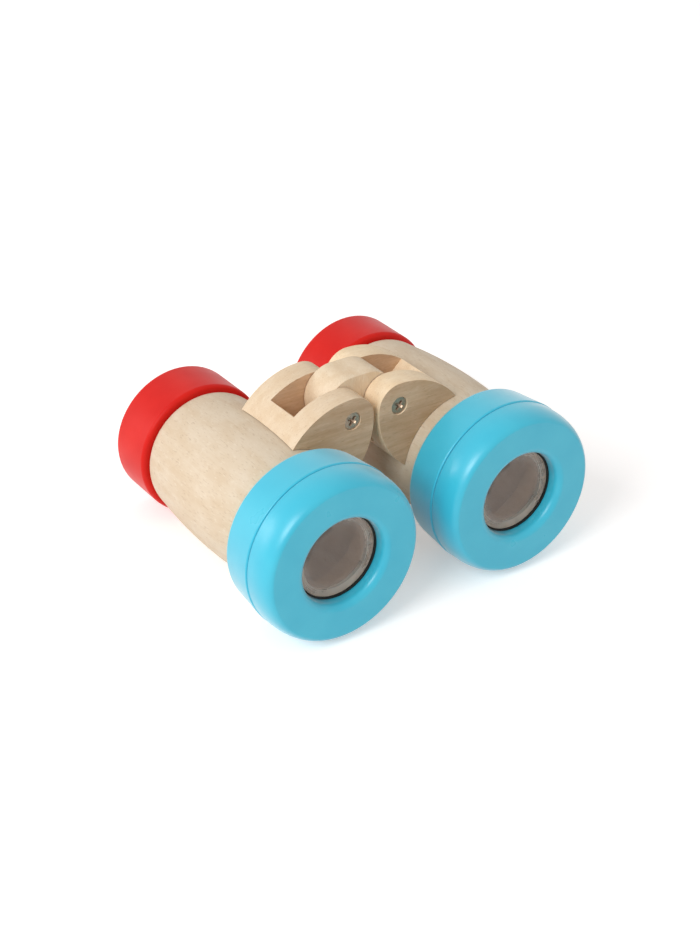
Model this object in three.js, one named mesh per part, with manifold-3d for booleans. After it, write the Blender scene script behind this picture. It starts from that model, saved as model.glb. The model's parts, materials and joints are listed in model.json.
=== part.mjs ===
// Wooden toy kaleidoscope binoculars: two turned barrels on a two-pin hinge,
// with a faceted lens in each turning objective ring.
// Millimetres, +Z up. The objectives face -Y, the eyecups +Y, and the toy stands on z = 0.
import * as THREE from 'three';
import { mergeVertices } from 'three/addons/utils/BufferGeometryUtils.js';
import Module from 'manifold-3d';

const wasm = await Module();
wasm.setup();

// Driving dimensions

const barrelSpacing = 64.6;

// Fits: glued seats, parts that turn, and play along the hinge pins.
const glueGap = 0.25;
const turningGap = 0.3;
const hingePlay = 0.3;
const seamGap = 0.4;

// Objective ring, which turns. Depths run back from its flat front face.
const ringRadius = 26.8;
const ringFaceRadius = 24.0;
const ringEdgeDepth = 7.4;
const ringDepth = 9.8;
const apertureRadius = 13.8;
const apertureEdge = 0.8;

// Faceted lens on a ledge in the ring, and the thin ring that holds it from the front.
// A tier of facets has an inset from the bore behind the ledge, and a height on the lens.
const lensLedge = 0.9;
const lensRim = 2.0;
const facetSides = 8;
const facetTiers = [[0.5, 0], [3.5, 0.6], [8.3, 1.0]];
const retainerSink = 4.2;
const retainerWidth = 0.65;
const retainerDepth = 0.8;

// Objective collar, glued on the barrel. The spigot of the ring turns in its lip.
const collarRadius = 27.0;
const collarRearRadius = 25.8;
const collarDepth = 12.9;
const collarRearEdge = 1.2;
const lipDepth = 4.0;
const keeperWidth = 1.95;
const keeperDepth = 2.2;

// Barrel, swelling towards its middle, with a stepped spigot at each end.
const barrelLength = 54.8;
const barrelFrontRadius = 20.5;
const barrelMiddleRadius = 22.2;
const barrelRearRadius = 20.0;
const barrelEndRound = 3.0;
const barrelEndDrop = 1.0;
const barrelStep = 1.6;
const barrelBore = 14.5;
const rearSpigotReach = 5.8;

// Eyecup with a dished rear face, and its window.
const eyecupRadius = 21.8;
const eyecupDepth = 16.8;
const eyecupEdge = 1.4;
const eyeHoleRadius = 11.5;
const dishRadius = 16.0;
const dishDepth = 4.5;
const windowDepth = 2.0;

// Hinge. The pin axes are parallel to the barrels.
const pinSpacing = 17.0;
const pinHeight = 24.4;
const forkSetback = 7.9;
const earDepth = 8.0;
const noseRadius = 7.5;
const forkSideRadius = 26.0;
const forkFootWidth = 26.4;
const footSinkAngle = 0.2;
const slotFloor = 9.0;
const linkDepth = 12.0;
const linkLength = 24.6;
const linkHeight = 18.6;

// Pivot screw, countersunk in the front ear and biting in the rear one.
const screwHeadRadius = 2.8;
const screwConeDepth = 1.7;
const screwHeadSink = 0.4;
const screwRadius = 1.6;
const screwBite = 5.6;
const screwTip = 1.4;
const crossWidth = 0.9;
const crossLength = 3.4;
const crossDepth = 1.2;

// Broken edges of the wood, and the fineness of the round shapes.
const edgeBreak = 0.4;
const ringSides = 40;
const screwSides = 20;
const arcSteps = 3;
const swellSteps = 4;

// Radii that fit into each other

const lensRadius = apertureRadius - glueGap;
const ringBore = apertureRadius - lensLedge;
const frontSpigotRadius = barrelFrontRadius - barrelStep;
const rearSpigotRadius = barrelRearRadius - barrelEndDrop - barrelStep;
const keeperRadius = frontSpigotRadius - turningGap;
const spigotRadius = keeperRadius - keeperWidth - glueGap;

// Places along the barrel axis, from the front face backwards

const lensFront = retainerSink + retainerDepth + glueGap;
const lensRear = lensFront + lensRim;
const ledgeFront = lensRear + glueGap;
const collarFront = ringDepth + seamGap;
const lipRear = collarFront + lipDepth;
const keeperFront = lipRear + turningGap;
const keeperRear = keeperFront + keeperDepth;
const frontSpigotEnd = keeperRear + 2 * turningGap;
const collarRear = collarFront + collarDepth;
const barrelFront = collarRear + glueGap;
const barrelRear = barrelFront + barrelLength;
const rearSpigotEnd = barrelRear + rearSpigotReach;
const windowFront = rearSpigotEnd + glueGap;
const socketFloor = windowFront + windowDepth + glueGap;
const eyecupFront = barrelRear + glueGap;
const eyecupRear = eyecupFront + eyecupDepth;
const forkFront = collarRear + forkSetback;
const slotFront = forkFront + earDepth;
const slotRear = slotFront + linkDepth + 2 * hingePlay;
const forkRear = slotRear + earDepth;
const screwTop = forkFront + screwHeadSink;
const screwEnd = slotRear + screwBite;

function barrelRadiusAt(y) {
  const share = (y - barrelFront) / barrelLength;
  const swell = barrelMiddleRadius - (barrelFrontRadius + barrelRearRadius) / 2;
  const straight = THREE.MathUtils.lerp(barrelFrontRadius, barrelRearRadius, share);
  return straight + 4 * swell * share * (1 - share);
}

// Finishes

const naturalWood = { color: 0xe4caa4, roughness: 0.65, metalness: 0 };
const bluePaint = { color: 0x5fc6e0, roughness: 0.4, metalness: 0 };
const redPaint = { color: 0xd63a33, roughness: 0.4, metalness: 0 };
const clearPlastic = { color: 0xb9b1a8, roughness: 0.15, metalness: 0 };
const blackPlastic = { color: 0x2b2a29, roughness: 0.55, metalness: 0 };
const steel = { color: 0xb4b4b2, roughness: 0.3, metalness: 1 };

function piece(name, geometry, finish) {
  const mesh = new THREE.Mesh(geometry, new THREE.MeshStandardMaterial(finish));
  mesh.name = name;
  return mesh;
}

// Solids

// Turns a profile of (radius, y) points about the Y axis. It runs up the outside and down the inside.
function turned(path, sides = ringSides) {
  return new THREE.LatheGeometry(path.getPoints(arcSteps), sides);
}

function profile(points) {
  return new THREE.Path(points.map(([radius, y]) => new THREE.Vector2(radius, y)));
}

function toSolid(geometry) {
  const bare = geometry.clone();
  bare.deleteAttribute('normal');
  bare.deleteAttribute('uv');
  const merged = mergeVertices(bare);
  const corners = merged.index.array;
  const kept = [];
  for (let i = 0; i < corners.length; i += 3) {
    const [a, b, c] = corners.slice(i, i + 3);
    if (a !== b && b !== c && c !== a) kept.push(a, b, c);
  }
  return new wasm.Manifold(new wasm.Mesh({
    numProp: 3,
    vertProperties: Float32Array.from(merged.attributes.position.array),
    triVerts: Uint32Array.from(kept),
  }));
}

function toGeometry(solid) {
  const mesh = solid.getMesh();
  const geometry = new THREE.BufferGeometry();
  geometry.setAttribute('position', new THREE.BufferAttribute(mesh.vertProperties, 3));
  geometry.setIndex(new THREE.BufferAttribute(mesh.triVerts, 1));
  geometry.computeVertexNormals();
  return geometry;
}

function cut(geometry, ...tools) {
  const result = tools.reduce((solid, tool) => solid.subtract(toSolid(tool)), toSolid(geometry));
  return toGeometry(result);
}

function join(geometry, ...others) {
  return toGeometry(others.reduce((solid, other) => solid.add(toSolid(other)), toSolid(geometry)));
}

// Extrudes a shape by a depth, its edges broken on both faces.
function extruded(shape, depth) {
  return new THREE.ExtrudeGeometry(shape, {
    depth: depth - 2 * edgeBreak,
    bevelThickness: edgeBreak,
    bevelSize: edgeBreak,
    bevelOffset: -edgeBreak,
    bevelSegments: 1,
    curveSegments: 2 * arcSteps,
  }).translate(0, 0, edgeBreak);
}

// Pieces of one half, turned about the barrel axis

function objectiveRing() {
  const path = new THREE.Path();
  const roundEdge = ringRadius - ringFaceRadius;
  path.moveTo(apertureRadius + apertureEdge, 0);
  path.lineTo(ringFaceRadius, 0);
  path.absellipse(ringFaceRadius, ringEdgeDepth, roundEdge, ringEdgeDepth, -Math.PI / 2, 0);
  path.lineTo(ringRadius, ringDepth - edgeBreak);
  path.lineTo(ringRadius - edgeBreak, ringDepth);
  path.lineTo(spigotRadius, ringDepth);
  path.lineTo(spigotRadius, keeperRear);
  path.lineTo(ringBore, keeperRear);
  path.lineTo(ringBore, ledgeFront);
  path.lineTo(apertureRadius, ledgeFront);
  path.lineTo(apertureRadius, apertureEdge);
  path.absarc(apertureRadius + apertureEdge, apertureEdge, apertureEdge, Math.PI, 1.5 * Math.PI);
  return turned(path);
}

// A flat round lens whose inner side has rings of facets round a flat table.
function kaleidoscopeLens() {
  const rim = profile([[0, lensFront], [lensRadius, lensFront], [lensRadius, lensRear], [0, lensRear]]);
  const tiers = facetTiers.map(([inset, height]) => [ringBore - inset, lensRear + height]);
  const facets = profile([
    [0, lensFront + lensRim / 2],
    [tiers[0][0], lensFront + lensRim / 2],
    ...tiers,
    [0, tiers.at(-1)[1]],
  ]);
  return join(turned(rim), turned(facets, facetSides));
}

function flatRing(innerRadius, outerRadius, front, depth) {
  return turned(profile([
    [innerRadius, front],
    [outerRadius, front],
    [outerRadius, front + depth],
    [innerRadius, front + depth],
    [innerRadius, front],
  ]));
}

function objectiveCollar() {
  const path = new THREE.Path();
  const lipBore = spigotRadius + turningGap;
  const socket = frontSpigotRadius + glueGap;
  path.moveTo(lipBore, collarFront);
  path.lineTo(collarRadius - edgeBreak, collarFront);
  path.lineTo(collarRadius, collarFront + edgeBreak);
  path.lineTo(collarRearRadius, collarRear - collarRearEdge);
  path.absarc(collarRearRadius - collarRearEdge, collarRear - collarRearEdge, collarRearEdge, 0, Math.PI / 2);
  path.lineTo(socket, collarRear);
  path.lineTo(socket, lipRear);
  path.lineTo(lipBore, lipRear);
  path.closePath();
  return turned(path);
}

// Points of the swelling side of a barrel between two places, grown by a gap.
function barrelSide(from, to, gap = 0) {
  return Array.from({ length: swellSteps + 1 }, (_, step) => {
    const y = THREE.MathUtils.lerp(from, to, step / swellSteps);
    return [barrelRadiusAt(y) + gap, y];
  });
}

function barrel() {
  const path = new THREE.Path();
  const roundFront = barrelRear - barrelEndRound;
  const endRadius = barrelRadiusAt(roundFront) - barrelEndDrop;
  path.moveTo(barrelBore, frontSpigotEnd);
  path.lineTo(frontSpigotRadius, frontSpigotEnd);
  path.lineTo(frontSpigotRadius, barrelFront);
  barrelSide(barrelFront, roundFront).forEach(([radius, y]) => path.lineTo(radius, y));
  path.absellipse(endRadius, roundFront, barrelEndDrop, barrelEndRound, 0, Math.PI / 2);
  path.lineTo(rearSpigotRadius, barrelRear);
  path.lineTo(rearSpigotRadius, rearSpigotEnd);
  path.lineTo(barrelBore, rearSpigotEnd);
  path.closePath();
  return turned(path);
}

function eyecup() {
  const path = new THREE.Path();
  const socket = rearSpigotRadius + glueGap;
  path.moveTo(socket, eyecupFront);
  path.lineTo(eyecupRadius - edgeBreak, eyecupFront);
  path.lineTo(eyecupRadius, eyecupFront + edgeBreak);
  path.lineTo(eyecupRadius, eyecupRear - eyecupEdge);
  path.absarc(eyecupRadius - eyecupEdge, eyecupRear - eyecupEdge, eyecupEdge, 0, Math.PI / 2);
  path.lineTo(dishRadius, eyecupRear);
  path.quadraticCurveTo(eyeHoleRadius, eyecupRear, eyeHoleRadius, eyecupRear - dishDepth);
  path.lineTo(eyeHoleRadius, socketFloor);
  path.lineTo(socket, socketFloor);
  path.closePath();
  return turned(path);
}

function eyeWindow() {
  const disc = new THREE.CylinderGeometry(rearSpigotRadius, rearSpigotRadius, windowDepth, ringSides);
  return disc.translate(0, windowFront + windowDepth / 2, 0);
}

// Hinge

// Leaf-shaped outline of a fork, with the pin at the origin and the barrel axis at (arm, 0):
// a round nose, and two sides that swell from it down to the barrel.
function forkOutline(arm) {
  const middleRadius = barrelRadiusAt((forkFront + forkRear) / 2);
  const halfFoot = forkFootWidth / 2;
  const tip = new THREE.Vector2(arm - Math.sqrt(middleRadius ** 2 - halfFoot ** 2), halfFoot);
  const reach = forkSideRadius - noseRadius;
  const cosine = (tip.lengthSq() + reach ** 2 - forkSideRadius ** 2) / (2 * tip.length() * reach);
  const centreAngle = tip.angle() - Math.acos(cosine);
  const centre = new THREE.Vector2(reach * Math.cos(centreAngle), reach * Math.sin(centreAngle));
  const noseAngle = centreAngle + Math.PI;
  const sunkAngle = tip.clone().sub(centre).angle() - footSinkAngle;
  const shape = new THREE.Shape();
  shape.absarc(centre.x, centre.y, forkSideRadius, sunkAngle, noseAngle);
  shape.absarc(0, 0, noseRadius, noseAngle, -noseAngle);
  shape.absarc(centre.x, -centre.y, forkSideRadius, -noseAngle, -sunkAngle);
  shape.closePath();
  return shape;
}

// Pivot screw about the Y axis, grown on all sides by a gap for the hole that it sits in.
function screwShape(gap = 0) {
  const coneEnd = screwTop + screwConeDepth;
  const top = gap > 0 ? forkFront - earDepth : screwTop;
  return turned(profile([
    [0, top],
    [screwHeadRadius + gap, top],
    [screwHeadRadius + gap, screwTop],
    [screwRadius + gap, coneEnd],
    [screwRadius + gap, screwEnd + gap],
    [0, screwEnd + screwTip + gap],
  ]), screwSides);
}

function pivotScrew() {
  const recess = [0, Math.PI / 2].map((angle) => {
    const bar = new THREE.BoxGeometry(crossLength, 2 * crossDepth, crossWidth);
    return bar.rotateY(angle + Math.PI / 4).translate(0, screwTop, 0);
  });
  return cut(screwShape(), ...recess);
}

// Fork of the half whose pin stands at (pinX, pinHeight) from the barrel axis.
function hingeFork(pinX) {
  const towardsBarrel = new THREE.Vector3(-pinX, 0, -pinHeight);
  const arm = towardsBarrel.length();
  towardsBarrel.normalize();
  const rearward = new THREE.Vector3(0, 1, 0);
  const across = rearward.clone().cross(towardsBarrel);
  const atPin = new THREE.Matrix4().makeBasis(towardsBarrel, across, rearward);
  atPin.setPosition(pinX, 0, pinHeight);

  const block = extruded(forkOutline(arm), forkRear - forkFront).translate(0, 0, forkFront);
  const slotLength = slotFloor + 2 * noseRadius;
  const slot = new THREE.BoxGeometry(slotLength, 2 * forkFootWidth, slotRear - slotFront);
  slot.translate(slotFloor - slotLength / 2, 0, (slotFront + slotRear) / 2);
  const roundFront = barrelRear - barrelEndRound;
  const seat = turned(profile([
    [0, barrelFront],
    ...barrelSide(barrelFront, roundFront, glueGap),
    [0, roundFront],
  ]));
  const screwHole = screwShape(turningGap).translate(pinX, 0, pinHeight);
  return cut(block.applyMatrix4(atPin), slot.applyMatrix4(atPin), seat, screwHole);
}

// Link with rounded ends that fills both slots, drilled for the two pins.
function centreLink() {
  const endRadius = linkHeight / 2;
  const endCentre = linkLength / 2 - endRadius;
  const shape = new THREE.Shape();
  shape.absarc(endCentre, 0, endRadius, -Math.PI / 2, Math.PI / 2);
  shape.absarc(-endCentre, 0, endRadius, Math.PI / 2, 1.5 * Math.PI);
  shape.closePath();
  const block = extruded(shape, linkDepth).rotateX(Math.PI / 2);
  block.translate(0, slotRear - hingePlay, pinHeight);
  const holes = [-1, 1].map((side) => {
    const holeRadius = screwRadius + turningGap;
    const drill = new THREE.CylinderGeometry(holeRadius, holeRadius, 2 * linkDepth, screwSides);
    return drill.translate(side * pinSpacing / 2, (slotFront + slotRear) / 2, pinHeight);
  });
  return cut(block, ...holes);
}

// Assembly

function binocularHalf(name, side) {
  const half = new THREE.Group();
  const pinX = -side * (barrelSpacing - pinSpacing) / 2;
  const screw = piece(`${name}_pivot_screw`, pivotScrew(), steel);
  screw.position.set(pinX, 0, pinHeight);
  const retainer = flatRing(lensRadius - retainerWidth, lensRadius, retainerSink, retainerDepth);
  const keeper = flatRing(spigotRadius + glueGap, keeperRadius, keeperFront, keeperDepth);
  half.add(
    piece(`${name}_barrel`, barrel(), naturalWood),
    piece(`${name}_hinge_fork`, hingeFork(pinX), naturalWood),
    piece(`${name}_eyecup`, eyecup(), redPaint),
    piece(`${name}_eye_window`, eyeWindow(), clearPlastic),
    piece(`${name}_objective_collar`, objectiveCollar(), bluePaint),
    piece(`${name}_objective_ring`, objectiveRing(), bluePaint),
    piece(`${name}_kaleidoscope_lens`, kaleidoscopeLens(), clearPlastic),
    piece(`${name}_lens_retainer`, retainer, blackPlastic),
    piece(`${name}_swivel_keeper`, keeper, blackPlastic),
    screw,
  );
  half.position.x = side * barrelSpacing / 2;
  return half;
}

const toy = new THREE.Group();
toy.add(
  binocularHalf('left', -1),
  binocularHalf('right', 1),
  piece('centre_link', centreLink(), naturalWood),
);

// The collars are larger than the eyecups, so the toy stands with its eye end lower.
const restDrop = collarRadius - eyecupRadius;
const restSpan = eyecupRear - eyecupEdge - (collarFront + edgeBreak);
toy.rotation.x = -Math.atan2(restDrop, restSpan);
const box = new THREE.Box3().setFromObject(toy, true);
toy.position.set(0, -(box.min.y + box.max.y) / 2, -box.min.z);

const binoculars = new THREE.Group();
binoculars.add(toy);

export default binoculars;
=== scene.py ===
"""Looks of the wooden toy kaleidoscope binoculars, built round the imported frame.

Sizes are in millimetres in the frame of one half: y runs back along the barrel axis from the front
face of the objective ring, z points up and x to the right. MM turns them into metres.
"""
import json
import math

import bmesh
import bpy
from mathutils import Matrix, Vector


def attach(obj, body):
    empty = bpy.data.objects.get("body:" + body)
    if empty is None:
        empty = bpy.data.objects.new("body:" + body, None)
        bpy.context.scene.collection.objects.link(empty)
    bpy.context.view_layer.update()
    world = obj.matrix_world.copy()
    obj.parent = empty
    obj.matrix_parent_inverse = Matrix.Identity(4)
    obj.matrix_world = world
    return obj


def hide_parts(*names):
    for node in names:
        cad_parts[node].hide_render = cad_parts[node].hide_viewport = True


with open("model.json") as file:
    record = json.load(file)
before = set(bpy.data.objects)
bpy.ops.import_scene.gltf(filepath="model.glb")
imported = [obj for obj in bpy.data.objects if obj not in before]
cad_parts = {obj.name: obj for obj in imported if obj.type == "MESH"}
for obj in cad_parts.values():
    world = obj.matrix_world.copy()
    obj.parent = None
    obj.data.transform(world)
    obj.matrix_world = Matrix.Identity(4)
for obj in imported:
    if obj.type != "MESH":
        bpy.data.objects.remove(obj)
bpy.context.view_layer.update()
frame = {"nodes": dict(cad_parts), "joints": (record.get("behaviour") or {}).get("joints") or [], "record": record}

MM = 0.001

# Sizes that the pieces share with the frame's solids
GLUE_GAP = 0.25
TURNING_GAP = 0.3
HINGE_PLAY = 0.3
SEAM_GAP = 0.4

RING_RADIUS = 26.8
RING_FACE_RADIUS = 24.0
RING_EDGE_DEPTH = 7.4
RING_DEPTH = 9.8
APERTURE_RADIUS = 13.8

LENS_LEDGE = 0.9
LENS_RIM = 2.0
FACET_SIDES = 8
FACET_TIERS = [(0.5, 0.0), (3.5, 0.6), (8.3, 1.0)]
RETAINER_SINK = 4.2
RETAINER_DEPTH = 0.8

COLLAR_RADIUS = 27.0
COLLAR_REAR_RADIUS = 25.8
COLLAR_DEPTH = 12.9
LIP_DEPTH = 4.0
KEEPER_WIDTH = 1.95
KEEPER_DEPTH = 2.2

BARREL_LENGTH = 54.8
BARREL_FRONT_RADIUS = 20.5
BARREL_MIDDLE_RADIUS = 22.2
BARREL_REAR_RADIUS = 20.0
BARREL_END_DROP = 1.0
BARREL_STEP = 1.6
BARREL_BORE = 14.5
REAR_SPIGOT_REACH = 5.8

EYECUP_RADIUS = 21.8
EYECUP_DEPTH = 16.8
EYE_HOLE_RADIUS = 11.5
DISH_RADIUS = 16.0
DISH_DEPTH = 4.5
WINDOW_DEPTH = 2.0

PIN_HEIGHT = 24.4
FORK_SETBACK = 7.9
EAR_DEPTH = 8.0
NOSE_RADIUS = 7.5
FORK_SIDE_RADIUS = 26.0
FORK_FOOT_WIDTH = 26.4
FOOT_SINK_ANGLE = 0.2
SLOT_FLOOR = 9.0
LINK_DEPTH = 12.0
LINK_LENGTH = 24.6
LINK_HEIGHT = 18.6

SCREW_HEAD_RADIUS = 2.8
SCREW_CONE_DEPTH = 1.7
SCREW_HEAD_SINK = 0.4
SCREW_RADIUS = 1.6
SCREW_BITE = 5.6
SCREW_TIP = 1.4

# Sizes of the looks alone: a thinner retainer, a tighter screw hole, a finer cross and rounded edges
RETAINER_WIDTH = 0.5
SCREW_FIT = 0.1
SCREW_HEAD_RIM = 0.25
CROSS_TURN = math.pi / 5
CROSS_LAYERS = [(-0.3, 1.75, 0.5), (0.5, 1.45, 0.38), (1.3, 0.55, 0.2)]

SEAM_FILL = 0.28
SEAM_ROUND = 0.55
APERTURE_ROUND = 2.3
FACE_MARGIN = 2.0
LEDGE_ROUND = 0.1
FRONT_SPIGOT_ROUND = 0.4
COLLAR_REAR_ROUND = 1.4
THIN_RING_ROUND = 0.12
SHOULDER_DROP = 1.8
SHOULDER_ROUND = 4.5
BARREL_TIP_ROUND = 0.3
EYECUP_FRONT_ROUND = 1.3
EYECUP_REAR_ROUND = 1.4
RIM_MARGIN = 1.0
HIDDEN_ROUND = 0.2
SCREW_HEAD_ROUND = 0.18
FORK_EDGE_ROUND = 0.35
LINK_EDGE_ROUND = 0.5
SCREW_EDGE_ROUND = 0.08

# Fineness of the meshes
TURN_SIDES = 160
SCREW_SIDES = 64
FILLET_STEPS = 6
BEVEL_STEPS = 3
RING_EDGE_STEPS = 24
SWELL_STEPS = 28
SHOULDER_STEPS = 12
DISH_STEPS = 16
FORK_ARC_STEPS = 24
LINK_ARC_STEPS = 32
MERGE_GAP = 0.001
SHARP_WOOD = math.radians(25)
SHARP_STEEL = math.radians(40)
SHARP_SHADING = math.radians(32)

# Radii that fit into each other
LENS_RADIUS = APERTURE_RADIUS - GLUE_GAP
RING_BORE = APERTURE_RADIUS - LENS_LEDGE
FRONT_SPIGOT_RADIUS = BARREL_FRONT_RADIUS - BARREL_STEP
REAR_SPIGOT_RADIUS = BARREL_REAR_RADIUS - BARREL_END_DROP - BARREL_STEP
KEEPER_RADIUS = FRONT_SPIGOT_RADIUS - TURNING_GAP
SPIGOT_RADIUS = KEEPER_RADIUS - KEEPER_WIDTH - GLUE_GAP

# Places along the barrel axis
LENS_FRONT = RETAINER_SINK + RETAINER_DEPTH + GLUE_GAP
LENS_REAR = LENS_FRONT + LENS_RIM
LEDGE_FRONT = LENS_REAR + GLUE_GAP
COLLAR_FRONT = RING_DEPTH + SEAM_GAP
LIP_REAR = COLLAR_FRONT + LIP_DEPTH
KEEPER_FRONT = LIP_REAR + TURNING_GAP
KEEPER_REAR = KEEPER_FRONT + KEEPER_DEPTH
FRONT_SPIGOT_END = KEEPER_REAR + 2 * TURNING_GAP
COLLAR_REAR = COLLAR_FRONT + COLLAR_DEPTH
BARREL_FRONT = COLLAR_REAR + GLUE_GAP
BARREL_REAR = BARREL_FRONT + BARREL_LENGTH
REAR_SPIGOT_END = BARREL_REAR + REAR_SPIGOT_REACH
WINDOW_FRONT = REAR_SPIGOT_END + GLUE_GAP
SOCKET_FLOOR = WINDOW_FRONT + WINDOW_DEPTH + GLUE_GAP
EYECUP_FRONT = BARREL_REAR + GLUE_GAP
EYECUP_REAR = EYECUP_FRONT + EYECUP_DEPTH
FORK_FRONT = COLLAR_REAR + FORK_SETBACK
SLOT_FRONT = FORK_FRONT + EAR_DEPTH
SLOT_REAR = SLOT_FRONT + LINK_DEPTH + 2 * HINGE_PLAY
FORK_REAR = SLOT_REAR + EAR_DEPTH
SCREW_TOP = FORK_FRONT + SCREW_HEAD_SINK
SCREW_END = SLOT_REAR + SCREW_BITE

SIDES = ("left", "right")
JOINTS = {joint["name"]: joint for joint in frame["joints"]}
BODY_OF = {
    node: body
    for body, nodes in frame["record"]["behaviour"]["bodies"].items()
    for node in nodes
}


def axes_matrix(x_axis, y_axis, z_axis, origin):
    matrix = Matrix((x_axis, y_axis, z_axis)).transposed().to_4x4()
    matrix.translation = origin
    return matrix


def half_frame(side):
    """Matrix of one half: the origin in the middle of its front face, y along its barrel."""
    joint = JOINTS[f"{side}_objective_turn"]
    axis = Vector(joint["axis"]).normalized()
    middle = Vector(joint["pos_m"])
    ring = frame["nodes"][f"{side}_objective_ring"].data
    front = min((vertex.co - middle).dot(axis) for vertex in ring.vertices)
    across = Vector((1, 0, 0))
    return axes_matrix(across, axis, across.cross(axis), middle + front * axis)


HALF = {side: half_frame(side) for side in SIDES}


def pin_x(side):
    """Where the pin of a half stands, sideways from its barrel axis."""
    pin = Vector(JOINTS[f"{side}_pivot"]["pos_m"])
    return (HALF[side].inverted() @ pin).x / MM


# Nodes of the materials


class Shader:
    """A material's node tree, with its principled shader and short ways to add nodes."""

    def __init__(self, name):
        self.material = bpy.data.materials.new(name)
        self.material.use_nodes = True
        self.tree = self.material.node_tree
        self.surface = self.tree.nodes["Principled BSDF"]

    def set(self, node, name, value):
        socket = node.inputs[name]
        if isinstance(value, bpy.types.NodeSocket):
            self.tree.links.new(value, socket)
        else:
            socket.default_value = value

    def add(self, kind, inputs=None, **settings):
        node = self.tree.nodes.new("ShaderNode" + kind)
        for name, value in settings.items():
            setattr(node, name, value)
        for name, value in (inputs or {}).items():
            self.set(node, name, value)
        return node

    def paint(self, **inputs):
        for name, value in inputs.items():
            self.set(self.surface, name.replace("_", " "), value)

    def place(self, scale=(1, 1, 1), shift=(0, 0, 0)):
        """The piece's own coordinates in millimetres, stretched by a scale and shifted."""
        coordinates = self.add("TexCoord").outputs["Object"]
        inputs = {"Vector": coordinates, "Scale": [s / MM for s in scale], "Location": shift}
        return self.add("Mapping", inputs).outputs["Vector"]

    def noise(self, vector, detail=2.0, roughness=0.5):
        inputs = {"Vector": vector, "Scale": 1.0, "Detail": detail, "Roughness": roughness}
        return self.add("TexNoise", inputs).outputs["Fac"]

    def remap(self, value, low, high, to_low=0.0, to_high=1.0):
        inputs = {"Value": value, "From Min": low, "From Max": high}
        inputs |= {"To Min": to_low, "To Max": to_high}
        return self.add("MapRange", inputs).outputs["Result"]

    def math(self, operation, first, second=0.0):
        node = self.add("Math", operation=operation)
        for index, value in enumerate((first, second)):
            self.set(node, index, value)
        return node.outputs[0]

    def mix(self, factor, first, second, blend="MIX"):
        node = self.add("Mix", data_type="RGBA", blend_type=blend)
        for index, value in ((0, factor), (6, first), (7, second)):
            self.set(node, index, value)
        return node.outputs[2]

    def radius(self):
        """Distance from the barrel axis, in millimetres, of a piece turned about its own y."""
        split = self.add("SeparateXYZ", {"Vector": self.place()}).outputs
        square = self.math("MULTIPLY", split["X"], split["X"])
        square = self.math("ADD", square, self.math("MULTIPLY", split["Z"], split["Z"]))
        return self.math("SQRT", square)

    def bump(self, height, strength, depth):
        inputs = {"Height": height, "Strength": strength, "Distance": depth * MM}
        return self.add("Bump", inputs).outputs["Normal"]


def rgb(red, green, blue):
    return (red, green, blue, 1.0)


PALE_WOOD = rgb(0.82, 0.68, 0.505)
WARM_WOOD = rgb(0.74, 0.565, 0.375)
PORE_WOOD = rgb(0.46, 0.29, 0.16)
RAY_WOOD = rgb(0.89, 0.77, 0.61)
# Colours of the saw-cut faces, darker partly as painted shade
SAWN_PALE_SHADED = rgb(0.93, 0.775, 0.68)
SAWN_DARK_SHADED = rgb(0.71, 0.545, 0.44)
BARREL_TONE = rgb(0.875, 0.87, 0.88)
# Painted shade: darkens the bare wood deep inside the lens opening
BORE_PAINTED_SHADE = rgb(0.86, 0.82, 0.78)
# Tones of the forks' wood: partly wood that differs, partly painted light, the left fork facing the key lamp made
# darker than the right
FORK_TONES_LIGHT_EVENED = {"left": rgb(0.97, 0.925, 0.885), "right": rgb(1.12, 1.08, 1.01)}
LINK_TONE = rgb(1.01, 0.98, 0.945)
WOOD_STREAKS = 0.5
BORE_STREAKS = 0.4

# Where each piece is cut from the block of noise
GRAIN_PLACES = {"left": (17.0, 5.0, 9.0), "right": (58.0, 28.0, -22.0)}
LINK_GRAIN_PLACE = (71.0, 33.0, 52.0)

BLUE = rgb(0.047, 0.540, 0.720)
DEEP_BLUE = rgb(0.038, 0.505, 0.690)
BLUE_FINISH = {"gloss": 0.55, "rough": 0.27, "veil": 0.5}
RED = rgb(0.71, 0.012, 0.006)
DEEP_RED = rgb(0.65, 0.009, 0.005)
RED_FINISH = {"gloss": 0.2, "rough": 0.4, "veil": 0.12}

# Radii between which plastic turns frosted, or beyond the edge of the piece for none. On the lens the frosted
# band's pale warm colour is partly a painted highlight, standing in for the lit wooden bore seen through the
# plastic.
LENS_FROST_AND_LIT_WALL = (9.2, 13.4)
NO_FROST = (99.0, 100.0)
CLEAR_TINT = rgb(0.84, 0.765, 0.72)
LIT_WALL_FROST_TINT = rgb(0.97, 0.87, 0.70)
PLASTIC_IOR = 1.49

BLACK_DEEP = rgb(0.006, 0.006, 0.006)
BLACK_WORN = rgb(0.016, 0.016, 0.015)
STEEL_BRIGHT = rgb(0.66, 0.46, 0.32)
STEEL_DULL = rgb(0.24, 0.16, 0.105)


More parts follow.
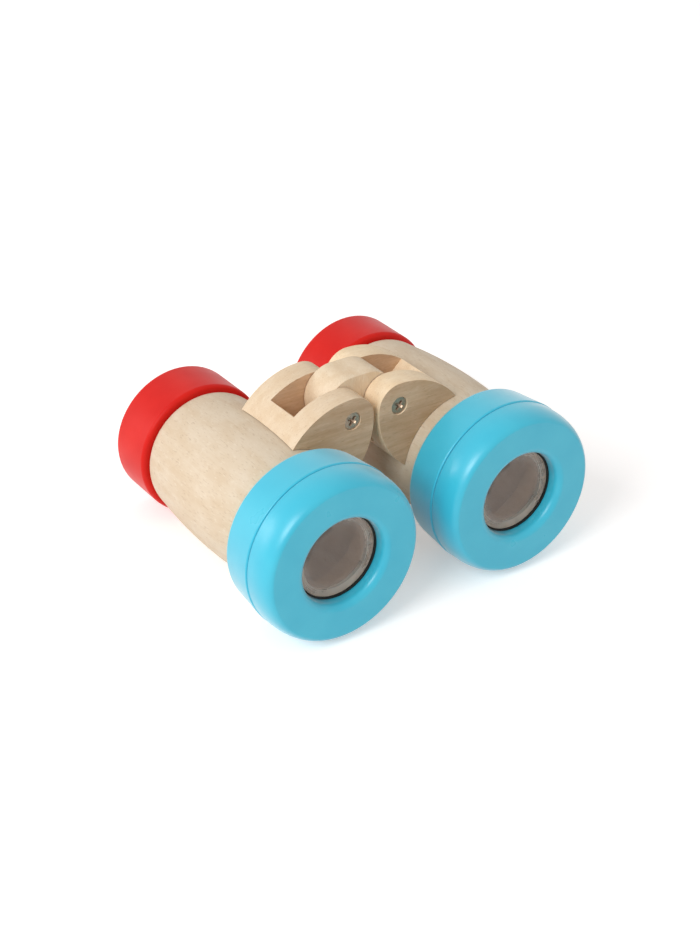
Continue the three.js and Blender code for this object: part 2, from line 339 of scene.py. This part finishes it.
def wood_colour(shader, shift, streaks, grain=1):
    """Colour and relief of sanded pale wood: bands, fibres, pores and rays along the grain's axis."""

    def along(fine, coarse):
        return [coarse if axis == grain else fine for axis in range(3)]

    bands = shader.noise(shader.place(along(0.30, 0.012), shift), 3.0)
    fibres = shader.noise(shader.place(along(2.4, 0.07), shift), 3.0, 0.6)
    pores = shader.noise(shader.place(along(3.2, 0.42), shift), 1.0)
    rays = shader.noise(shader.place(along(1.7, 0.5), shift[::-1]), 1.0)
    mottle = shader.noise(shader.place(along(0.22, 0.11), shift), 3.0, 0.6)
    colour = shader.mix(shader.remap(bands, 0.42, 0.66, 0.0, streaks), PALE_WOOD, WARM_WOOD)
    colour = shader.mix(shader.remap(fibres, 0.45, 0.75, 0.0, 0.5 * streaks), colour, WARM_WOOD)
    colour = shader.mix(shader.remap(mottle, 0.5, 0.7, 0.0, 0.45), colour, RAY_WOOD)
    colour = shader.mix(shader.remap(mottle, 0.5, 0.3, 0.0, 0.45), colour, WARM_WOOD)
    colour = shader.mix(shader.remap(rays, 0.62, 0.72, 0.0, 0.5), colour, RAY_WOOD)
    pore_share = shader.remap(pores, 0.62, 0.74, 0.0, 0.38)
    colour = shader.mix(pore_share, colour, PORE_WOOD)
    relief = shader.math("SUBTRACT", fibres, pore_share)
    return colour, relief


def natural_wood(name, shift, tone, grain=1, sawn_and_shaded=None):
    """Sanded wood. Faces across the axis given for saw-cut faces are darker, partly from the marks of the saw and
    partly as painted shade.
    """
    shader = Shader(name)
    bare, relief = wood_colour(shader, shift, WOOD_STREAKS, grain)
    colour = shader.mix(1.0, bare, tone, "MULTIPLY")
    polish = shader.noise(shader.place((0.5, 0.12, 0.5), shift))
    if sawn_and_shaded is not None:
        normal = shader.add("TexCoord").outputs["Normal"]
        towards = shader.add("SeparateXYZ", {"Vector": normal}).outputs[sawn_and_shaded]
        # Painted shade, partly: faces across the given axis are darkened, with saw marks
        face = shader.remap(shader.math("ABSOLUTE", towards), 0.7, 0.95)
        marks = shader.noise(shader.place((0.04, 0.5, 0.5), shift), 3.0, 0.6)
        saw_stain_and_shade = shader.mix(shader.remap(marks, 0.3, 0.7), SAWN_PALE_SHADED, SAWN_DARK_SHADED)
        colour = shader.mix(face, colour, shader.mix(1.0, bare, saw_stain_and_shade, "MULTIPLY"))
    shader.paint(
        Base_Color=colour,
        Roughness=shader.remap(polish, 0.3, 0.7, 0.5, 0.66),
        Specular_IOR_Level=0.22,
        Normal=shader.bump(relief, 0.35, 0.05),
    )
    return shader.material


def painted_wood(name, colour, deep, shift, gloss, rough, veil, bare_from=None):
    """Satin paint on turned wood, with a milky veil in slanting views.

    Behind y = bare_from, inside the lens opening, the wood is bare, and darkened there by a painted shade for the
    recess.
    """
    shader = Shader(name)
    cloud = shader.noise(shader.place((0.09, 0.09, 0.09), shift), 3.0)
    coat = shader.mix(shader.remap(cloud, 0.35, 0.7), colour, deep)
    peel = shader.noise(shader.place((0.9, 0.9, 0.9), shift), 2.0)
    fibres = shader.noise(shader.place((2.0, 0.10, 2.0), shift), 2.0)
    relief = shader.math("ADD", peel, shader.math("MULTIPLY", fibres, 0.5))
    satin = shader.remap(cloud, 0.3, 0.7, rough, rough + 0.09)
    if bare_from is not None:
        inner = shader.math("LESS_THAN", shader.radius(), APERTURE_RADIUS + GLUE_GAP)
        depth = shader.add("SeparateXYZ", {"Vector": shader.place()}).outputs["Y"]
        bare = shader.math("MULTIPLY", inner, shader.math("GREATER_THAN", depth, bare_from))
        bore = wood_colour(shader, shift, BORE_STREAKS)[0]
        # the bare bore wood is multiplied by a painted shade for the recess
        coat = shader.mix(bare, coat, shader.mix(1.0, bore, BORE_PAINTED_SHADE, "MULTIPLY"))
        satin = shader.math("ADD", satin, shader.math("MULTIPLY", bare, 0.2))
    shader.paint(
        Base_Color=coat,
        Roughness=satin,
        Specular_IOR_Level=gloss,
        Sheen_Weight=veil,
        Sheen_Roughness=0.4,
        Normal=shader.bump(relief, 0.12, 0.04),
    )
    return shader.material


def clear_plastic(name, frosted):
    """Clear plastic, a little smudged, that turns frosted between two radii; the frosted band's pale warm colour
    is partly a painted highlight of lit wood behind it.
    """
    shader = Shader(name)
    smudge = shader.noise(shader.place((0.12, 0.12, 0.12)), 4.0, 0.6)
    hairline = shader.noise(shader.place((4.0, 0.4, 0.6), (3, 1, 2)), 1.0)
    radius = shader.radius()
    turning = shader.noise(shader.add("CombineXYZ", {"X": radius}).outputs[0], 3.0, 0.7)
    # Painted highlight, partly: a pale frosted band with turning streaks that stands in for the lit wooden bore
    frost_and_lit_wall = shader.remap(radius, *frosted)
    frost_and_lit_wall = shader.math("MULTIPLY", frost_and_lit_wall, shader.remap(turning, 0.38, 0.62, 0.22, 0.95))
    frost_and_lit_wall = shader.math("MULTIPLY", frost_and_lit_wall, shader.remap(smudge, 0.4, 0.6, 0.45, 1.0))
    shader.paint(
        Base_Color=shader.mix(frost_and_lit_wall, CLEAR_TINT, LIT_WALL_FROST_TINT),
        Roughness=shader.math("ADD", shader.remap(smudge, 0.35, 0.7, 0.02, 0.10), frost_and_lit_wall),
        Transmission_Weight=shader.math("SUBTRACT", 1.0, frost_and_lit_wall),
        IOR=PLASTIC_IOR,
        Normal=shader.bump(hairline, 0.05, 0.01),
    )
    return shader.material


def black_plastic():
    shader = Shader("black_plastic")
    grain = shader.noise(shader.place((3.0, 3.0, 3.0)), 3.0)
    shader.paint(
        Base_Color=shader.mix(grain, BLACK_DEEP, BLACK_WORN),
        Roughness=shader.remap(grain, 0.3, 0.7, 0.45, 0.6),
        Specular_IOR_Level=0.25,
        Normal=shader.bump(grain, 0.15, 0.02),
    )
    return shader.material


def plated_steel():
    shader = Shader("plated_steel")
    scuff = shader.noise(shader.place((1.5, 1.5, 1.5)), 4.0, 0.65)
    lines = shader.noise(shader.place((9.0, 9.0, 0.8), (4, 2, 7)), 1.0)
    shader.paint(
        Base_Color=shader.mix(shader.remap(scuff, 0.3, 0.7), STEEL_BRIGHT, STEEL_DULL),
        Metallic=0.5,
        Roughness=shader.remap(scuff, 0.3, 0.7, 0.2, 0.4),
        Normal=shader.bump(lines, 0.1, 0.01),
    )
    return shader.material


CLEAR = clear_plastic("clear_plastic", NO_FROST)
LENS = clear_plastic("lens_plastic", LENS_FROST_AND_LIT_WALL)
BLACK = black_plastic()
STEEL = plated_steel()


# Meshes of the pieces


def rounded(corners):
    """Points of a closed outline, each corner (radius, y, fillet) rounded by its fillet."""
    points = []
    for index, (radius, y, fillet) in enumerate(corners):
        here = Vector((radius, y))
        if not fillet:
            points.append(here)
            continue
        before = (Vector(corners[index - 1][:2]) - here).normalized()
        after = (Vector(corners[(index + 1) % len(corners)][:2]) - here).normalized()
        half_angle = before.angle(after) / 2
        centre = here + (before + after).normalized() * fillet / math.sin(half_angle)
        reach = fillet / math.tan(half_angle)
        start = here + before * reach - centre
        end = here + after * reach - centre
        for step in range(FILLET_STEPS + 1):
            points.append(centre + start.slerp(end, step / FILLET_STEPS).normalized() * fillet)
    return points


def ellipse_arc(centre, radial, axial, start, end, steps):
    """Points of a part of an ellipse as corners without fillets, from a start to an end angle."""
    angles = [start + (end - start) * step / steps for step in range(steps + 1)]
    return [
        (centre[0] + radial * math.cos(angle), centre[1] + axial * math.sin(angle), 0)
        for angle in angles
    ]


def lathe(outline, sides=TURN_SIDES):
    """Turns a closed outline of (radius, y) points about the y axis."""
    mesh = bmesh.new()
    rings = []
    for radius, y in outline:
        if radius == 0:
            rings.append([mesh.verts.new((0, y * MM, 0))] * sides)
            continue
        ring = []
        for step in range(sides):
            angle = 2 * math.pi * step / sides
            x, z = radius * math.cos(angle), radius * math.sin(angle)
            ring.append(mesh.verts.new(Vector((x, y, z)) * MM))
        rings.append(ring)
    for lower, upper in zip(rings, rings[1:] + rings[:1]):
        for step in range(sides):
            following = (step + 1) % sides
            corners = [lower[step], lower[following], upper[following], upper[step]]
            corners = list(dict.fromkeys(corners))
            if len(corners) > 2:
                mesh.faces.new(corners)
    bmesh.ops.recalc_face_normals(mesh, faces=mesh.faces)
    return mesh


def extrusion(points, low, high):
    """A solid of an outline in x and y, between two heights in z."""
    mesh = bmesh.new()
    floor = mesh.faces.new([mesh.verts.new((x * MM, y * MM, low * MM)) for x, y in points])
    raised = bmesh.ops.extrude_face_region(mesh, geom=[floor])["geom"]
    moved = [item for item in raised if isinstance(item, bmesh.types.BMVert)]
    bmesh.ops.translate(mesh, verts=moved, vec=(0, 0, (high - low) * MM))
    bmesh.ops.recalc_face_normals(mesh, faces=mesh.faces)
    return mesh


def to_object(name, mesh):
    data = bpy.data.meshes.new(name)
    mesh.to_mesh(data)
    mesh.free()
    piece = bpy.data.objects.new(name, data)
    bpy.context.scene.collection.objects.link(piece)
    return piece


def carve(mesh, cutters):
    """The mesh with each of the cutter meshes taken out of it."""
    block = to_object("block", mesh)
    tools = [to_object("cutter", cutter) for cutter in cutters]
    for tool in tools:
        modifier = block.modifiers.new("cut", "BOOLEAN")
        modifier.operation = "DIFFERENCE"
        modifier.solver = "MANIFOLD"
        modifier.object = tool
    evaluated = block.evaluated_get(bpy.context.evaluated_depsgraph_get())
    carved = bmesh.new()
    carved.from_mesh(evaluated.to_mesh())
    evaluated.to_mesh_clear()
    for item in [block, *tools]:
        bpy.data.objects.remove(item)
    bmesh.ops.remove_doubles(carved, verts=carved.verts, dist=MERGE_GAP * MM)
    bmesh.ops.dissolve_degenerate(carved, edges=carved.edges, dist=MERGE_GAP * MM)
    return carved


def weigh_edges(mesh, sharp, keep=lambda edge: False):
    """Marks the edges sharper than an angle for rounding, apart from those that keep is true for."""
    weights = mesh.edges.layers.float.new("bevel_weight_edge")
    for edge in mesh.edges:
        if len(edge.link_faces) == 2 and edge.calc_face_angle(0) > sharp and not keep(edge):
            edge[weights] = 1.0
    return mesh


def finish_piece(node, mesh, matrix, material, edge_radius=0.0):
    """Puts a mesh in the place of a node, on its body, smooth, with its material and slot."""
    piece = to_object(f"{node}_look", mesh)
    piece.matrix_world = matrix
    piece.data.materials.append(material)
    piece.data.shade_smooth()
    if edge_radius:
        bevel = piece.modifiers.new("rounded edges", "BEVEL")
        bevel.limit_method = "WEIGHT"
        bevel.width = edge_radius * MM
        bevel.segments = BEVEL_STEPS
    piece.data.set_sharp_from_angle(angle=SHARP_SHADING)
    normals = piece.modifiers.new("flat faces", "WEIGHTED_NORMAL")
    normals.keep_sharp = True
    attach(piece, BODY_OF[node])
    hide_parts(node)


def objective_ring():
    round_edge = RING_RADIUS - RING_FACE_RADIUS
    corners = [(APERTURE_RADIUS, 0, APERTURE_ROUND), (RING_FACE_RADIUS - FACE_MARGIN, 0, 0)]
    corners += ellipse_arc(
        (RING_FACE_RADIUS, RING_EDGE_DEPTH), round_edge, RING_EDGE_DEPTH,
        -math.pi / 2, 0, RING_EDGE_STEPS,
    )
    rear = RING_DEPTH + SEAM_FILL
    corners += [
        (RING_RADIUS, rear, SEAM_ROUND),
        (SPIGOT_RADIUS, rear, HIDDEN_ROUND),
        (SPIGOT_RADIUS, KEEPER_REAR, FRONT_SPIGOT_ROUND),
        (RING_BORE, KEEPER_REAR, FRONT_SPIGOT_ROUND),
        (RING_BORE, LEDGE_FRONT, LEDGE_ROUND),
        (APERTURE_RADIUS, LEDGE_FRONT, 0),
    ]
    return lathe(rounded(corners))


def objective_collar():
    lip_bore = SPIGOT_RADIUS + TURNING_GAP
    socket = FRONT_SPIGOT_RADIUS + GLUE_GAP
    corners = [
        (lip_bore, COLLAR_FRONT, HIDDEN_ROUND),
        (COLLAR_RADIUS, COLLAR_FRONT, SEAM_ROUND),
        (COLLAR_REAR_RADIUS, COLLAR_REAR, COLLAR_REAR_ROUND),
        (socket, COLLAR_REAR, HIDDEN_ROUND),
        (socket, LIP_REAR, HIDDEN_ROUND),
        (lip_bore, LIP_REAR, HIDDEN_ROUND),
    ]
    return lathe(rounded(corners))


def barrel_radius_at(y):
    share = (y - BARREL_FRONT) / BARREL_LENGTH
    swell = BARREL_MIDDLE_RADIUS - (BARREL_FRONT_RADIUS + BARREL_REAR_RADIUS) / 2
    straight = BARREL_FRONT_RADIUS + (BARREL_REAR_RADIUS - BARREL_FRONT_RADIUS) * share
    return straight + 4 * swell * share * (1 - share)


def barrel_side(gap=0.0):
    """Corners of the swelling side of a barrel up to its rounded end, grown by a gap."""
    length = BARREL_LENGTH - SHOULDER_ROUND
    places = [BARREL_FRONT + length * step / SWELL_STEPS for step in range(SWELL_STEPS + 1)]
    return [(barrel_radius_at(y) + gap, y, 0) for y in places]


def barrel():
    side = barrel_side()
    corners = [
        (BARREL_BORE, FRONT_SPIGOT_END, BARREL_TIP_ROUND),
        (FRONT_SPIGOT_RADIUS, FRONT_SPIGOT_END, BARREL_TIP_ROUND),
        (FRONT_SPIGOT_RADIUS, BARREL_FRONT, 0),
        *side[:-1],
    ]
    end = (side[-1][0] - SHOULDER_DROP, side[-1][1])
    corners += ellipse_arc(end, SHOULDER_DROP, SHOULDER_ROUND, 0, math.pi / 2, SHOULDER_STEPS)
    corners += [
        (REAR_SPIGOT_RADIUS, BARREL_REAR, 0),
        (REAR_SPIGOT_RADIUS, REAR_SPIGOT_END, BARREL_TIP_ROUND),
        (BARREL_BORE, REAR_SPIGOT_END, BARREL_TIP_ROUND),
    ]
    return lathe(rounded(corners))


def eyecup():
    socket = REAR_SPIGOT_RADIUS + GLUE_GAP
    corners = [
        (socket, EYECUP_FRONT, HIDDEN_ROUND),
        (EYECUP_RADIUS, EYECUP_FRONT, EYECUP_FRONT_ROUND),
        (EYECUP_RADIUS, EYECUP_REAR, EYECUP_REAR_ROUND),
        (DISH_RADIUS + RIM_MARGIN, EYECUP_REAR, 0),
    ]
    corners += ellipse_arc(
        (DISH_RADIUS, EYECUP_REAR - DISH_DEPTH), DISH_RADIUS - EYE_HOLE_RADIUS, DISH_DEPTH,
        math.pi / 2, math.pi, DISH_STEPS,
    )
    corners += [(EYE_HOLE_RADIUS, SOCKET_FLOOR, HIDDEN_ROUND), (socket, SOCKET_FLOOR, 0)]
    return lathe(rounded(corners))


def eye_window():
    rear = WINDOW_FRONT + WINDOW_DEPTH
    corners = [
        (0, WINDOW_FRONT, 0),
        (REAR_SPIGOT_RADIUS, WINDOW_FRONT, HIDDEN_ROUND),
        (REAR_SPIGOT_RADIUS, rear, HIDDEN_ROUND),
        (0, rear, 0),
    ]
    return lathe(rounded(corners))


def flat_ring(inner, outer, front, depth):
    rear = front + depth
    places = [(inner, front), (outer, front), (outer, rear), (inner, rear)]
    return lathe(rounded([(*place, THIN_RING_ROUND) for place in places]))


def facet_share(angle):
    """Radius of a polygon of FACET_SIDES sides at an angle, as a share of its corners' radius."""
    half = math.pi / FACET_SIDES
    return math.cos(half) / math.cos(angle % (2 * half) - half)


def kaleidoscope_lens():
    """A flat round lens with rings of facets on its inner side, in one closed skin."""
    mesh = bmesh.new()
    rim = [(LENS_RADIUS, LENS_REAR, False), (LENS_RADIUS, LENS_FRONT, False)]
    tiers = [(RING_BORE - inset, LENS_REAR + height, True) for inset, height in reversed(FACET_TIERS)]
    rings = []
    for radius, y, faceted in tiers + rim:
        ring = []
        for step in range(TURN_SIDES):
            angle = 2 * math.pi * step / TURN_SIDES
            reach = radius * (facet_share(angle) if faceted else 1) * MM
            ring.append(mesh.verts.new((reach * math.cos(angle), y * MM, reach * math.sin(angle))))
        rings.append(ring)
    for inner, outer in zip(rings, rings[1:]):
        for step in range(TURN_SIDES):
            following = (step + 1) % TURN_SIDES
            mesh.faces.new([inner[step], inner[following], outer[following], outer[step]])
    mesh.faces.new(rings[0])
    mesh.faces.new(rings[-1])
    bmesh.ops.recalc_face_normals(mesh, faces=mesh.faces)
    return mesh


def arc(centre, radius, start, end, steps):
    angles = [start + (end - start) * step / steps for step in range(steps + 1)]
    return [centre + radius * Vector((math.cos(angle), math.sin(angle))) for angle in angles]


def fork_outline(arm):
    """Leaf outline of a fork, the pin at the origin and the barrel axis at (arm, 0)."""
    middle_radius = barrel_radius_at((FORK_FRONT + FORK_REAR) / 2)
    half_foot = FORK_FOOT_WIDTH / 2
    tip = Vector((arm - math.sqrt(middle_radius ** 2 - half_foot ** 2), half_foot))
    reach = FORK_SIDE_RADIUS - NOSE_RADIUS
    cosine = (tip.length_squared + reach ** 2 - FORK_SIDE_RADIUS ** 2) / (2 * tip.length * reach)
    centre_angle = math.atan2(tip.y, tip.x) - math.acos(cosine)
    centre = reach * Vector((math.cos(centre_angle), math.sin(centre_angle)))
    nose_angle = centre_angle + math.pi
    from_centre = tip - centre
    sunk_angle = math.atan2(from_centre.y, from_centre.x) - FOOT_SINK_ANGLE
    upper = arc(centre, FORK_SIDE_RADIUS, sunk_angle, nose_angle, FORK_ARC_STEPS)
    nose = arc(Vector((0, 0)), NOSE_RADIUS, nose_angle, 2 * math.pi - nose_angle, FORK_ARC_STEPS)
    lower = [Vector((point.x, -point.y)) for point in reversed(upper)]
    return upper + nose[1:-1] + lower


def pivot_screw_outline(gap=0.0):
    """Outline of a countersunk screw, or of its hole, grown by a gap and open to the front."""
    top = SCREW_TOP - EAR_DEPTH if gap else SCREW_TOP
    cone_end = SCREW_TOP + SCREW_CONE_DEPTH
    return [
        (0, top, 0),
        (SCREW_HEAD_RADIUS + gap, top, 0 if gap else SCREW_HEAD_ROUND),
        (SCREW_HEAD_RADIUS + gap, SCREW_TOP + SCREW_HEAD_RIM, 0),
        (SCREW_RADIUS + gap, cone_end, 0),
        (SCREW_RADIUS + gap, SCREW_END + gap, 0),
        (0, SCREW_END + SCREW_TIP + gap, 0),
    ]


def hinge_fork(side):
    """A block of leaf outline with a slot for the link, a foot cut to the barrel and a screw hole."""
    towards_barrel = Vector((-pin_x(side), 0, -PIN_HEIGHT))
    arm = towards_barrel.length
    towards_barrel.normalize()
    rearward = Vector((0, 1, 0))
    across = rearward.cross(towards_barrel)
    pin = Vector((pin_x(side), 0, PIN_HEIGHT)) * MM
    at_pin = axes_matrix(towards_barrel, across, rearward, pin)
    block = extrusion(fork_outline(arm), FORK_FRONT, FORK_REAR)
    reach = 2 * FORK_FOOT_WIDTH
    slot = extrusion(
        [(SLOT_FLOOR, -reach), (SLOT_FLOOR, reach), (-reach, reach), (-reach, -reach)],
        SLOT_FRONT, SLOT_REAR,
    )
    side_corners = barrel_side(GLUE_GAP)
    seat = lathe(rounded([(0, side_corners[0][1], 0), *side_corners, (0, side_corners[-1][1], 0)]))
    seat.transform(at_pin.inverted())
    hole = lathe(rounded(pivot_screw_outline(SCREW_FIT)), SCREW_SIDES)
    hole.transform(Matrix.Translation(pin))
    hole.transform(at_pin.inverted())
    carved = carve(block, [slot, seat, hole])
    carved.transform(at_pin)

    def on_barrel(edge):
        for vertex in edge.verts:
            point = vertex.co / MM
            gap = math.hypot(point.x, point.z) - barrel_radius_at(point.y)
            if gap > 3 * GLUE_GAP:
                return False
        return True

    return weigh_edges(carved, SHARP_WOOD, on_barrel)


def centre_link():
    end_radius = LINK_HEIGHT / 2
    end_centre = Vector((LINK_LENGTH / 2 - end_radius, 0))
    quarter = math.pi / 2
    outline = arc(end_centre, end_radius, -quarter, quarter, LINK_ARC_STEPS)
    outline += arc(-end_centre, end_radius, quarter, 3 * quarter, LINK_ARC_STEPS)
    block = extrusion(outline, -LINK_DEPTH / 2, LINK_DEPTH / 2)
    pins = [Vector(JOINTS[f"{side}_pivot"]["pos_m"]) for side in SIDES]
    holes = []
    for pin in pins:
        centre = Vector((pin.x / MM, 0))
        points = arc(centre, SCREW_RADIUS + TURNING_GAP, 0, 2 * math.pi, LINK_ARC_STEPS)[:-1]
        holes.append(extrusion(points, -LINK_DEPTH, LINK_DEPTH))
    mesh = weigh_edges(carve(block, holes), SHARP_WOOD)
    left = HALF["left"].to_3x3()
    matrix = axes_matrix(left.col[0], -left.col[2], left.col[1], (pins[0] + pins[1]) / 2)
    return mesh, matrix


def cross_recess():
    """A tapered cross that is sunk in a screw head, in layers of depth, reach and half width."""
    mesh = bmesh.new()
    layers = []
    for depth, reach, width in CROSS_LAYERS:
        ring = []
        for quarter in range(4):
            turn = Matrix.Rotation(CROSS_TURN - quarter * math.pi / 2, 3, "Y")
            for x, z in ((width, -width), (reach, -width), (reach, width)):
                point = turn @ Vector((x, 0, z))
                ring.append(mesh.verts.new(Vector((point.x, SCREW_TOP + depth, point.z)) * MM))
        layers.append(ring)
    for lower, upper in zip(layers, layers[1:]):
        for index in range(len(lower)):
            following = (index + 1) % len(lower)
            mesh.faces.new([lower[index], lower[following], upper[following], upper[index]])
    mesh.faces.new(layers[0])
    mesh.faces.new(layers[-1])
    bmesh.ops.recalc_face_normals(mesh, faces=mesh.faces)
    return mesh


def pivot_screw():
    body = lathe(rounded(pivot_screw_outline()), SCREW_SIDES)
    return weigh_edges(carve(body, [cross_recess()]), SHARP_STEEL)


# Assembly

for side in SIDES:
    here = HALF[side]
    shift = GRAIN_PLACES[side]
    blue_ring = painted_wood(
        f"{side}_ring_paint", BLUE, DEEP_BLUE, shift, **BLUE_FINISH, bare_from=LENS_FRONT
    )
    blue_collar = painted_wood(f"{side}_collar_paint", BLUE, DEEP_BLUE, shift, **BLUE_FINISH)
    red = painted_wood(f"{side}_eyecup_paint", RED, DEEP_RED, shift, **RED_FINISH)
    barrel_wood = natural_wood(f"{side}_barrel_wood", shift, BARREL_TONE)
    fork_wood = natural_wood(f"{side}_fork_wood", shift[::-1], FORK_TONES_LIGHT_EVENED[side], grain=0, sawn_and_shaded="Y")
    finish_piece(f"{side}_objective_ring", objective_ring(), here, blue_ring)
    finish_piece(f"{side}_objective_collar", objective_collar(), here, blue_collar)
    finish_piece(f"{side}_barrel", barrel(), here, barrel_wood)
    finish_piece(f"{side}_eyecup", eyecup(), here, red)
    finish_piece(f"{side}_eye_window", eye_window(), here, CLEAR)
    finish_piece(f"{side}_kaleidoscope_lens", kaleidoscope_lens(), here, LENS)
    # The black retainer ring is partly painted shade: its blackness also stands in for the shadow gap at the lens
    # edge
    retainer = flat_ring(LENS_RADIUS - RETAINER_WIDTH, LENS_RADIUS, RETAINER_SINK, RETAINER_DEPTH)
    finish_piece(f"{side}_lens_retainer", retainer, here, BLACK)
    keeper = flat_ring(SPIGOT_RADIUS + GLUE_GAP, KEEPER_RADIUS, KEEPER_FRONT, KEEPER_DEPTH)
    finish_piece(f"{side}_swivel_keeper", keeper, here, BLACK)
    finish_piece(f"{side}_hinge_fork", hinge_fork(side), here, fork_wood, FORK_EDGE_ROUND)
    at_screw = here @ Matrix.Translation(Vector((pin_x(side), 0, PIN_HEIGHT)) * MM)
    finish_piece(f"{side}_pivot_screw", pivot_screw(), at_screw, STEEL, SCREW_EDGE_ROUND)

link_mesh, link_place = centre_link()
link_wood = natural_wood("link_wood", LINK_GRAIN_PLACE, LINK_TONE)
finish_piece("centre_link", link_mesh, link_place, link_wood, LINK_EDGE_ROUND)


# Floor, light and camera

WHITE = rgb(1.0, 1.0, 1.0)
FLOOR_SIZE = 2.6
FLOOR_TONE = rgb(0.93, 0.905, 0.895)
FLOOR_GLOW = rgb(1.03, 1.0, 0.985)
FLOOR_LIFT = 0.37
AMBIENT = 0.55


def seen_directly(tree):
    """1 for what the camera, a mirror or a lens shows, 0 for light on its way between surfaces."""
    path = tree.nodes.new("ShaderNodeLightPath")
    total = path.outputs["Is Camera Ray"]
    for name in ("Is Glossy Ray", "Is Transmission Ray"):
        larger = tree.nodes.new("ShaderNodeMath")
        larger.operation = "MAXIMUM"
        tree.links.new(total, larger.inputs[0])
        tree.links.new(path.outputs[name], larger.inputs[1])
        total = larger.outputs[0]
    return total


def make_floor():
    mesh = bmesh.new()
    bmesh.ops.create_grid(mesh, x_segments=8, y_segments=8, size=FLOOR_SIZE / 2)
    floor = to_object("floor", mesh)
    shader = Shader("floor_paper")
    shader.paint(Base_Color=FLOOR_TONE, Roughness=0.8, Specular_IOR_Level=0.1)
    glow = shader.math("MULTIPLY", seen_directly(shader.tree), FLOOR_LIFT)
    shader.paint(Emission_Color=FLOOR_GLOW, Emission_Strength=glow)
    floor.data.materials.append(shader.material)


def make_world():
    world = bpy.data.worlds.new("studio")
    world.use_nodes = True
    tree = world.node_tree
    background = tree.nodes["Background"]
    background.inputs["Color"].default_value = WHITE
    strength = tree.nodes.new("ShaderNodeMapRange")
    strength.inputs["To Min"].default_value = AMBIENT
    strength.inputs["To Max"].default_value = 1.0
    tree.links.new(seen_directly(tree), strength.inputs["Value"])
    tree.links.new(strength.outputs["Result"], background.inputs["Strength"])
    bpy.context.scene.world = world


def make_light(name, azimuth, elevation, distance, size, level):
    """A square softbox that gives a surface facing it that level of light."""
    lamp = bpy.data.lights.new(name, "AREA")
    lamp.size = size
    lamp.energy = level * (math.pi * distance) ** 2
    light = bpy.data.objects.new(name, lamp)
    a, e = math.radians(azimuth), math.radians(elevation)
    towards = Vector((math.sin(a) * math.cos(e), -math.cos(a) * math.cos(e), math.sin(e)))
    light.location = towards * distance
    light.rotation_euler = towards.to_track_quat("Z", "Y").to_euler()
    bpy.context.scene.collection.objects.link(light)


def make_camera():
    """The photograph's view: turned round and above the object, and rolled a little."""
    azimuth, elevation, roll = math.radians(-36.143), math.radians(33.434), math.radians(2.721)
    distance = 572.463 * MM
    target = Vector((2.11, 0.0, 22.006)) * MM
    image_height, focal_pixels = 933, 1839.87
    back = Vector((
        math.sin(azimuth) * math.cos(elevation),
        -math.cos(azimuth) * math.cos(elevation),
        math.sin(elevation),
    ))
    level = Vector((math.cos(azimuth), math.sin(azimuth), 0))
    upright = back.cross(level)
    right = level * math.cos(roll) + upright * math.sin(roll)
    up = upright * math.cos(roll) - level * math.sin(roll)
    lens = bpy.data.cameras.new("camera")
    lens.lens = lens.sensor_width * focal_pixels / image_height
    lens.clip_start = 0.01
    camera = bpy.data.objects.new("camera", lens)
    camera.matrix_world = axes_matrix(right, up, back, target + back * distance)
    bpy.context.scene.collection.objects.link(camera)
    bpy.context.scene.camera = camera


make_floor()
make_world()
make_light("key", azimuth=287, elevation=40, distance=1.4, size=0.6, level=0.475)
make_light("rim", azimuth=232, elevation=16, distance=1.4, size=0.5, level=0.18)
make_camera()
bpy.context.scene.view_settings.view_transform = "Standard"
